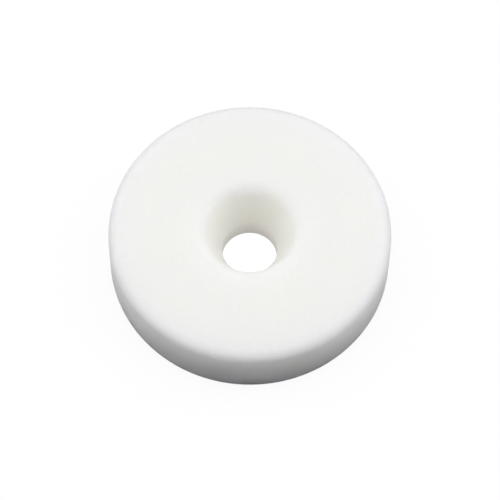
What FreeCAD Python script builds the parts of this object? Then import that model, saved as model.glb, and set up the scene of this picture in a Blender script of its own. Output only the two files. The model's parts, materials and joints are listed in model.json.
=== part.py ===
import FreeCAD, Part
import math
import os

# A thick round disc of white ceramic with one hole through its middle. The hole starts as a wide mouth in
# the top face, tapers down, and ends as a short straight bore that comes out of the underside. The disc is
# one pressed and fired piece, so it is one solid, turned about the axis of the hole.
#
# All sizes are in millimetres. The disc lies flat on its underside at z = 0, +Z runs up the axis of the
# hole towards the mouth, and the origin is the point where that axis meets the underside.

# Disc
DISC_DIAMETER = 25.0
DISC_THICKNESS = 6.0

# Hole, from the underside up
BORE_DIAMETER = 4.9
BORE_LENGTH = 2.0
MOUTH_DIAMETER = 8.2

# Roundings of the edges
TOP_EDGE_RADIUS = 0.9
UNDER_EDGE_RADIUS = 0.5
BORE_EXIT_RADIUS = 0.1
SHOULDER_RADIUS = 1.5
MOUTH_RADIUS = 1.4

FULL_TURN_DEG = 360.0
OUTPUT_FOLDER = "parts"


def hole_corners():
    """Corners of the section along the hole, from the underside to the top face, each (r, z, rounding)."""
    bore_r = BORE_DIAMETER / 2
    mouth_r = MOUTH_DIAMETER / 2
    return [
        (bore_r, 0.0, BORE_EXIT_RADIUS),
        (bore_r, BORE_LENGTH, SHOULDER_RADIUS),
        (mouth_r, DISC_THICKNESS, MOUTH_RADIUS),
    ]


def rim_corners():
    """Corners of the section round the outside, from the top face to the underside, each (r, z, rounding)."""
    disc_r = DISC_DIAMETER / 2
    return [
        (disc_r, DISC_THICKNESS, TOP_EDGE_RADIUS),
        (disc_r, 0.0, UNDER_EDGE_RADIUS),
    ]


def point(r, z):
    """A point of the section, which lies in the XZ plane."""
    return FreeCAD.Vector(r, 0.0, z)


def rounded_corner(before, corner, after, radius):
    """Start, middle and end of the arc of this radius that touches both sides of a corner."""
    back = (before - corner).normalize()
    ahead = (after - corner).normalize()
    half_angle = back.getAngle(ahead) / 2
    setback = radius / math.tan(half_angle)
    centre_distance = radius / math.sin(half_angle)
    inward = (back + ahead).normalize()
    start = corner + back * setback
    middle = corner + inward * (centre_distance - radius)
    end = corner + ahead * setback
    return start, middle, end


def rounded_section(corners):
    """Closed face through the corners in order, with every corner rounded by its own radius."""
    points = [point(r, z) for r, z, radius in corners]
    arcs = []
    for index, (r, z, radius) in enumerate(corners):
        before = points[index - 1]
        after = points[(index + 1) % len(points)]
        arcs.append(rounded_corner(before, points[index], after, radius))
    edges = []
    for index, (start, middle, end) in enumerate(arcs):
        previous_end = arcs[index - 1][2]
        edges.append(Part.LineSegment(previous_end, start).toShape())
        edges.append(Part.Arc(start, middle, end).toShape())
    return Part.Face(Part.Wire(edges))


def ceramic_disc():
    """The whole disc: its rounded section turned once about the axis of the hole."""
    section = rounded_section(hole_corners() + rim_corners())
    axis_point = FreeCAD.Vector(0.0, 0.0, 0.0)
    axis_direction = FreeCAD.Vector(0.0, 0.0, 1.0)
    return section.revolve(axis_point, axis_direction, FULL_TURN_DEG)


def main():
    os.makedirs(OUTPUT_FOLDER, exist_ok=True)
    disc = ceramic_disc()
    disc.exportStep(os.path.join(OUTPUT_FOLDER, "ceramic_disc.step"))
    print("ceramic_disc valid", disc.isValid(), "volume_mm3", round(disc.Volume, 2))


main()
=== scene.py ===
import json
import math

import bpy
from mathutils import Matrix, Vector, noise

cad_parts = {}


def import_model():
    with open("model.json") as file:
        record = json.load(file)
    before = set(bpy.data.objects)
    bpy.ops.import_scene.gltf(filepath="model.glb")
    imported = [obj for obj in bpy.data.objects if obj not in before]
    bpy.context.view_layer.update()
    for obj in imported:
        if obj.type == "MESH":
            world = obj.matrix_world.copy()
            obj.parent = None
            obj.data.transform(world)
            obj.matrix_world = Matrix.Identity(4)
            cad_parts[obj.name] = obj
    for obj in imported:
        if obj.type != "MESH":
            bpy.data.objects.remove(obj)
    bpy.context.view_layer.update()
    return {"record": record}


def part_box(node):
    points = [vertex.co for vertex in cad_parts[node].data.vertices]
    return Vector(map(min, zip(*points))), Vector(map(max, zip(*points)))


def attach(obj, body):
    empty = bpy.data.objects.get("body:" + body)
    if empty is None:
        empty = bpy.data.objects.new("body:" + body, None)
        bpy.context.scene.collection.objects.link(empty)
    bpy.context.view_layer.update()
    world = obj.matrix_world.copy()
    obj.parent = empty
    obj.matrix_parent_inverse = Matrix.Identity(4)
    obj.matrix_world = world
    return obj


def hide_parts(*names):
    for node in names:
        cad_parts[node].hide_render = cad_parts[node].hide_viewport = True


# A thick round disc of white ceramic with a tapered hole, on a white studio floor.
#
# The disc is a fine lathe mesh with the section of the solid: flat faces, rounded rims, and a hole that
# tapers from a wide mouth to a short straight bore. Its own sizes come from the frame, and the sizes that
# the frame doesn't give are named here. Lengths are in millimetres until MM turns them into metres.

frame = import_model()

MM = 0.001
NODE = "ceramic_disc"

# Hole and edges of the disc
BORE_LENGTH = 2.0
MOUTH_DIAMETER = 8.2
TOP_EDGE_RADIUS = 0.9
UNDER_EDGE_RADIUS = 0.5
BORE_EXIT_RADIUS = 0.1
SHOULDER_RADIUS = 1.5
MOUTH_RADIUS = 1.4

# Fineness of the lathe mesh
TURN_STEPS = 512
ARC_STEPS = 10
LINE_STEP = 0.4

# Slight unevenness of the fired surface, always inwards from the true form
WAVE_LENGTH = 4.0
WAVE_DEPTH = 0.012
RIPPLE_LENGTH = 1.1
RIPPLE_DEPTH = 0.004
RIPPLE_START = (40.0, 0.0, 0.0)

# White ceramic: light goes in about LIGHT_REACH deep and comes out warmer and softer
PALE_COLOUR = (0.952, 0.937, 0.853)
WARM_COLOUR = (0.948, 0.931, 0.843)
LIGHT_REACH = 3.0
PATCH_SIZE = 5.0
MOTTLE_SIZE = 1.2
GRAIN_SIZE = 0.16
GRAIN_DARKEST = 0.978
GRAIN_HEIGHT = 0.006
PORE_SIZE = 0.45
PORE_DEPTH = 0.012
SMOOTHEST = 0.44
ROUGHEST = 0.58
SPECULAR_LEVEL = 0.3

# Octaves of the noises that colour and roughen the ceramic, and the stretch of each that is used
BROAD_DETAIL = 1.0
GRAIN_DETAIL = 2.0
PORE_DETAIL = 0.0
WARMTH_RANGE = (0.7, 1.3)
SHADE_RANGE = (0.3, 0.7)
HEIGHT_RANGE = (0.2, 0.8)
PORE_RANGE = (0.2, 0.3)

# Sockets of a mix node that blends two colours
MIX_FIRST_COLOUR = 6
MIX_SECOND_COLOUR = 7
MIX_RESULT_COLOUR = 2

# Camera: it looks down on the disc from the front
CAMERA_ELEVATION_DEG = 64.76
CAMERA_ROLL_DEG = 0.8
CAMERA_DISTANCE = 250.0
CAMERA_LENS = 202.3
SENSOR_WIDTH = 36.0
NEAREST_SEEN = 1.0
FURTHEST_SEEN = 10000.0
AIM_BELOW_CENTRE = 0.565
AIM_RIGHT_OF_CENTRE = 0.02

# Floor: white to the camera; to bounced light it is painted shade round the disc, nearly black, which
# darkens the foot of the rim, and pale card further out
FLOOR_SIZE = 2000.0
PAINTED_SHADE_RADIUS = 24.0
CARD_RADIUS = 30.0
PAINTED_SHADE_NEAR_DISC = 0.02
CARD_SHADE = 0.9
SEEN_SHADE = 0.1
SEEN_GLOW = 0.91
WHITE = 1.0

# Light pane in the floor under the hole, which also looks full white to the camera: painted light over the
# hole's shadow
PANE_RADIUS = 3.0
PANE_GLOW = 0.419
PANE_COLOUR = (1.040, 0.997, 0.960)

# Weak light from all round
WORLD_GLOW = 0.074
WORLD_COLOUR = (0.927, 0.768, 1.304)

# Softboxes: name, azimuth and elevation in degrees, width and height, brightness, colour
SOFTBOX_DISTANCE = 250.0
SOFTBOXES = [
    ("lamp_left", 270.0, 40.0, 300.0, 290.0, 1.385, (0.982, 0.997, 1.021)),
    ("lamp_right", 90.0, 40.0, 300.0, 290.0, 1.479, (0.982, 0.996, 1.022)),
    ("lamp_back", 0.0, 45.0, 300.0, 160.0, 0.341, (0.972, 0.991, 1.037)),
    ("lamp_back_low", 0.0, 15.0, 300.0, 100.0, 1.015, (0.982, 0.998, 1.020)),
    ("lamp_top", 0.0, 88.0, 220.0, 220.0, 1.265, (0.981, 0.996, 1.023)),
]


def hole_and_rim(bore_r, disc_r, thickness):
    """Corners of the section in order, each (r, z, rounding), from the bore round to the underside."""
    return [
        (bore_r, 0.0, BORE_EXIT_RADIUS),
        (bore_r, BORE_LENGTH, SHOULDER_RADIUS),
        (MOUTH_DIAMETER / 2, thickness, MOUTH_RADIUS),
        (disc_r, thickness, TOP_EDGE_RADIUS),
        (disc_r, 0.0, UNDER_EDGE_RADIUS),
    ]


def arc_round(before, corner, after, radius):
    """Points of the arc of this radius that touches both sides of a corner."""
    back = (before - corner).normalized()
    ahead = (after - corner).normalized()
    half = back.angle(ahead) / 2
    start = corner + back * (radius / math.tan(half))
    centre = corner + (back + ahead).normalized() * (radius / math.sin(half))
    spoke = start - centre
    turn = math.pi - 2 * half
    side = 1.0 if spoke.cross(ahead) > 0 else -1.0
    points = []
    for step in range(ARC_STEPS + 1):
        angle = side * turn * step / ARC_STEPS
        cos, sin = math.cos(angle), math.sin(angle)
        points.append(centre + Vector((spoke.x * cos - spoke.y * sin, spoke.x * sin + spoke.y * cos)))
    return points


def line_between(start, end):
    """Points strictly between two points, no further apart than LINE_STEP."""
    count = max(1, math.ceil((end - start).length / LINE_STEP))
    return [start.lerp(end, step / count) for step in range(1, count)]


def section_points(corners):
    """The whole closed section as points (r, z), its corners rounded."""
    places = [Vector((r, z)) for r, z, radius in corners]
    points = []
    for index, (r, z, radius) in enumerate(corners):
        before = places[index - 1]
        after = places[(index + 1) % len(places)]
        arc = arc_round(before, places[index], after, radius)
        if points:
            points += line_between(points[-1], arc[0])
        points += arc
    return points + line_between(points[-1], points[0])


def section_normals(points):
    """Outward unit normals of the section, from the neighbours of each point."""
    normals = []
    for index in range(len(points)):
        along = points[(index + 1) % len(points)] - points[index - 1]
        normals.append(Vector((-along.y, along.x)).normalized())
    return normals


def unevenness(place):
    """How far the surface lies under its true form there, in millimetres."""
    wave = noise.noise(place / WAVE_LENGTH)
    ripple = noise.noise(place / RIPPLE_LENGTH + Vector(RIPPLE_START))
    return WAVE_DEPTH * (1.0 + wave) / 2 + RIPPLE_DEPTH * (1.0 + ripple) / 2


def lathe(name, points, normals):
    """A closed mesh of the section turned about the Z axis, with the surface's slight unevenness."""
    vertices = []
    for step in range(TURN_STEPS):
        angle = 2 * math.pi * step / TURN_STEPS
        cos, sin = math.cos(angle), math.sin(angle)
        for point, normal in zip(points, normals):
            place = Vector((point.x * cos, point.x * sin, point.y))
            out = Vector((normal.x * cos, normal.x * sin, normal.y))
            vertices.append((place - out * unevenness(place)) * MM)
    count = len(points)
    faces = []
    for step in range(TURN_STEPS):
        here, there = step * count, (step + 1) % TURN_STEPS * count
        for index in range(count):
            ahead = (index + 1) % count
            faces.append((here + index, here + ahead, there + ahead, there + index))
    mesh = bpy.data.meshes.new(name)
    mesh.from_pydata(vertices, [], faces)
    mesh.polygons.foreach_set("use_smooth", [True] * len(faces))
    mesh.update()
    piece = bpy.data.objects.new(name, mesh)
    bpy.context.scene.collection.objects.link(piece)
    return piece


def opaque(colour):
    """The colour with an alpha of 1."""
    return (*colour, 1.0)


def noise_of_size(nodes, links, place, size, detail):
    """A noise texture whose features are about this many millimetres across, as a value near 0.5."""
    texture = nodes.new("ShaderNodeTexNoise")
    texture.inputs["Scale"].default_value = 1.0 / (size * MM)
    texture.inputs["Detail"].default_value = detail
    links.new(place, texture.inputs["Vector"])
    return texture.outputs["Fac"]


def spread(nodes, links, value, used, start, end):
    """The value with the stretch that is used mapped softly to start..end, held at both ends."""
    low, high = used
    mapped = nodes.new("ShaderNodeMapRange")
    mapped.interpolation_type = "SMOOTHSTEP"
    mapped.inputs["From Min"].default_value = low
    mapped.inputs["From Max"].default_value = high
    mapped.inputs["To Min"].default_value = start
    mapped.inputs["To Max"].default_value = end
    links.new(value, mapped.inputs["Value"])
    return mapped.outputs["Result"]


def blend(nodes, links, factor, first, second):
    """A colour between two colours."""
    mix = nodes.new("ShaderNodeMix")
    mix.data_type = "RGBA"
    mix.inputs[MIX_FIRST_COLOUR].default_value = opaque(first)
    mix.inputs[MIX_SECOND_COLOUR].default_value = opaque(second)
    links.new(factor, mix.inputs["Factor"])
    return mix.outputs[MIX_RESULT_COLOUR]


def darkened(nodes, links, colour, value):
    """The colour scaled by the value."""
    scale = nodes.new("ShaderNodeVectorMath")
    scale.operation = "SCALE"
    links.new(colour, scale.inputs[0])
    links.new(value, scale.inputs["Scale"])
    return scale.outputs["Vector"]


def added(nodes, links, first, second):
    """The sum of two values."""
    total = nodes.new("ShaderNodeMath")
    total.operation = "ADD"
    links.new(first, total.inputs[0])
    links.new(second, total.inputs[1])
    return total.outputs["Value"]


def ceramic():
    """White unglazed ceramic: translucent, with faint warm patches, a fine grain and small shallow pores."""
    material = bpy.data.materials.new("white_ceramic")
    material.use_nodes = True
    nodes, links = material.node_tree.nodes, material.node_tree.links
    shader = nodes["Principled BSDF"]
    place = nodes.new("ShaderNodeTexCoord").outputs["Object"]
    patches = noise_of_size(nodes, links, place, PATCH_SIZE, BROAD_DETAIL)
    mottle = noise_of_size(nodes, links, place, MOTTLE_SIZE, BROAD_DETAIL)
    grain = noise_of_size(nodes, links, place, GRAIN_SIZE, GRAIN_DETAIL)
    pores = noise_of_size(nodes, links, place, PORE_SIZE, PORE_DETAIL)

    warmth = spread(nodes, links, added(nodes, links, patches, mottle), WARMTH_RANGE, 0.0, 1.0)
    colour = blend(nodes, links, warmth, PALE_COLOUR, WARM_COLOUR)
    shade = spread(nodes, links, grain, SHADE_RANGE, GRAIN_DARKEST, 1.0)
    links.new(darkened(nodes, links, colour, shade), shader.inputs["Base Color"])
    roughness = spread(nodes, links, mottle, SHADE_RANGE, SMOOTHEST, ROUGHEST)
    links.new(roughness, shader.inputs["Roughness"])

    grains = spread(nodes, links, grain, HEIGHT_RANGE, 0.0, GRAIN_HEIGHT)
    pits = spread(nodes, links, pores, PORE_RANGE, 0.0, PORE_DEPTH)
    bump = nodes.new("ShaderNodeBump")
    bump.inputs["Distance"].default_value = MM  # the heights are in millimetres
    links.new(added(nodes, links, grains, pits), bump.inputs["Height"])
    links.new(bump.outputs["Normal"], shader.inputs["Normal"])

    shader.inputs["Specular IOR Level"].default_value = SPECULAR_LEVEL
    shader.subsurface_method = "RANDOM_WALK"
    shader.inputs["Subsurface Weight"].default_value = 1.0
    shader.inputs["Subsurface Radius"].default_value = (1.0, 1.0, 1.0)
    shader.inputs["Subsurface Scale"].default_value = LIGHT_REACH * MM
    return material


def seen_ray(nodes, links):
    """A value that is 1 where the camera sees a surface straight, mirrored or through something clear."""
    path = nodes.new("ShaderNodeLightPath")
    total = None
    for ray in ("Is Camera Ray", "Is Glossy Ray", "Is Transmission Ray"):
        if total is None:
            total = path.outputs[ray]
            continue
        either = nodes.new("ShaderNodeMath")
        either.operation = "MAXIMUM"
        links.new(total, either.inputs[0])
        links.new(path.outputs[ray], either.inputs[1])
        total = either.outputs[0]
    return total


def either_value(nodes, links, seen, unseen_value, seen_value):
    """A value that differs between light that bounces and what the camera sees."""
    mix = nodes.new("ShaderNodeMix")
    for socket, value in (("A", unseen_value), ("B", seen_value)):
        if isinstance(value, float):
            mix.inputs[socket].default_value = value
        else:
            links.new(value, mix.inputs[socket])
    links.new(seen, mix.inputs["Factor"])
    return mix.outputs["Result"]


def camera():
    """The photograph's view: from the front, well above, rolled a little."""
    elevation, roll = math.radians(CAMERA_ELEVATION_DEG), math.radians(CAMERA_ROLL_DEG)
    back = Vector((0.0, -math.cos(elevation), math.sin(elevation)))
    level_right = Vector((1.0, 0.0, 0.0))
    level_up = Vector((0.0, math.sin(elevation), math.cos(elevation)))
    right = level_right * math.cos(roll) + level_up * math.sin(roll)
    up = level_up * math.cos(roll) - level_right * math.sin(roll)
    lowest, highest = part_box(NODE)
    aim = (lowest + highest) / 2 - up * AIM_BELOW_CENTRE * MM + right * AIM_RIGHT_OF_CENTRE * MM
    data = bpy.data.cameras.new("camera")
    data.lens = CAMERA_LENS
    data.sensor_width = SENSOR_WIDTH
    data.clip_start = NEAREST_SEEN * MM
    data.clip_end = FURTHEST_SEEN * MM
    eye = bpy.data.objects.new("camera", data)
    placed = Matrix((right, up, back)).transposed().to_4x4()
    placed.translation = aim + back * CAMERA_DISTANCE * MM
    eye.matrix_world = placed
    bpy.context.scene.collection.objects.link(eye)
    bpy.context.scene.camera = eye


def softbox(name, azimuth_deg, elevation_deg, width, height, brightness, colour):
    """A soft rectangular lamp that faces the disc."""
    azimuth, elevation = math.radians(azimuth_deg), math.radians(elevation_deg)
    flat = math.cos(elevation)
    towards = Vector((math.sin(azimuth) * flat, math.cos(azimuth) * flat, math.sin(elevation)))
    light = bpy.data.lights.new(name, "AREA")
    light.shape = "RECTANGLE"
    light.size = width * MM
    light.size_y = height * MM
    light.energy = brightness * math.pi * light.size * light.size_y
    light.color = colour
    lamp = bpy.data.objects.new(name, light)
    lamp.rotation_mode = "QUATERNION"
    lamp.rotation_quaternion = towards.to_track_quat("Z", "Y")
    lamp.location = towards * SOFTBOX_DISTANCE * MM
    bpy.context.scene.collection.objects.link(lamp)


def world():
    """Weak soft light from all round, which looks white to the camera."""
    surroundings = bpy.data.worlds.new("studio")
    bpy.context.scene.world = surroundings
    surroundings.use_nodes = True
    nodes, links = surroundings.node_tree.nodes, surroundings.node_tree.links
    seen = seen_ray(nodes, links)
    background = nodes["Background"]
    links.new(either_value(nodes, links, seen, WORLD_GLOW, WHITE), background.inputs["Strength"])
    links.new(blend(nodes, links, seen, WORLD_COLOUR, (WHITE, WHITE, WHITE)), background.inputs["Color"])


def floor_material():
    """White to the camera with a trace of shadow, full white over the light pane (painted light over the
    hole's shadow); to the light that bounces, painted shade round the disc, pale card further out and the
    light pane.
    """
    material = bpy.data.materials.new("studio_floor")
    material.use_nodes = True
    nodes, links = material.node_tree.nodes, material.node_tree.links
    nodes.clear()
    seen = seen_ray(nodes, links)
    length = nodes.new("ShaderNodeVectorMath")
    length.operation = "LENGTH"
    links.new(nodes.new("ShaderNodeTexCoord").outputs["Object"], length.inputs[0])
    from_middle = length.outputs["Value"]

    # Painted shade: bounced light finds the floor nearly black round the disc, which darkens the foot of the
    # rim
    painted_shade_edge = (PAINTED_SHADE_RADIUS * MM, CARD_RADIUS * MM)
    bounce = spread(nodes, links, from_middle, painted_shade_edge, PAINTED_SHADE_NEAR_DISC, CARD_SHADE)
    surface = nodes.new("ShaderNodeBsdfDiffuse")
    links.new(either_value(nodes, links, seen, bounce, SEEN_SHADE), surface.inputs["Color"])

    outside_pane = nodes.new("ShaderNodeMath")
    outside_pane.operation = "GREATER_THAN"
    outside_pane.inputs[1].default_value = PANE_RADIUS * MM
    links.new(from_middle, outside_pane.inputs[0])
    pane = spread(nodes, links, outside_pane.outputs["Value"], (0.0, 1.0), PANE_GLOW, 0.0)
    # Painted light: under the hole the camera sees full white, over the shadow that the disc casts there
    seen_glow = spread(nodes, links, outside_pane.outputs["Value"], (0.0, 1.0), WHITE, SEEN_GLOW)
    glow = nodes.new("ShaderNodeEmission")
    links.new(either_value(nodes, links, seen, pane, seen_glow), glow.inputs["Strength"])
    links.new(blend(nodes, links, seen, PANE_COLOUR, (WHITE, WHITE, WHITE)), glow.inputs["Color"])

    both = nodes.new("ShaderNodeAddShader")
    links.new(surface.outputs["BSDF"], both.inputs[0])
    links.new(glow.outputs["Emission"], both.inputs[1])
    output = nodes.new("ShaderNodeOutputMaterial")
    links.new(both.outputs["Shader"], output.inputs["Surface"])
    return material


def floor():
    """The plain floor that the disc lies on."""
    half = FLOOR_SIZE * MM / 2
    corners = [(-half, -half, 0.0), (half, -half, 0.0), (half, half, 0.0), (-half, half, 0.0)]
    mesh = bpy.data.meshes.new("floor")
    mesh.from_pydata(corners, [], [(0, 1, 2, 3)])
    mesh.materials.append(floor_material())
    ground = bpy.data.objects.new("floor", mesh)
    bpy.context.scene.collection.objects.link(ground)


def disc():
    """The visible disc, in the place of its CAD node."""
    lowest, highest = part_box(NODE)
    bore = next(mount for mount in frame["record"]["mounts"] if mount["name"] == "bore")
    disc_r = (highest.x - lowest.x) / 2 / MM
    thickness = (highest.z - lowest.z) / MM
    bore_r = bore["dims"]["r_mm"]
    points = section_points(hole_and_rim(bore_r, disc_r, thickness))
    piece = lathe("white_disc", points, section_normals(points))
    piece.data.materials.append(ceramic())
    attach(piece, "root")
    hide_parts(NODE)


def main():
    disc()
    floor()
    world()
    for box in SOFTBOXES:
        softbox(*box)
    camera()
    bpy.context.scene.view_settings.view_transform = "Standard"


main()
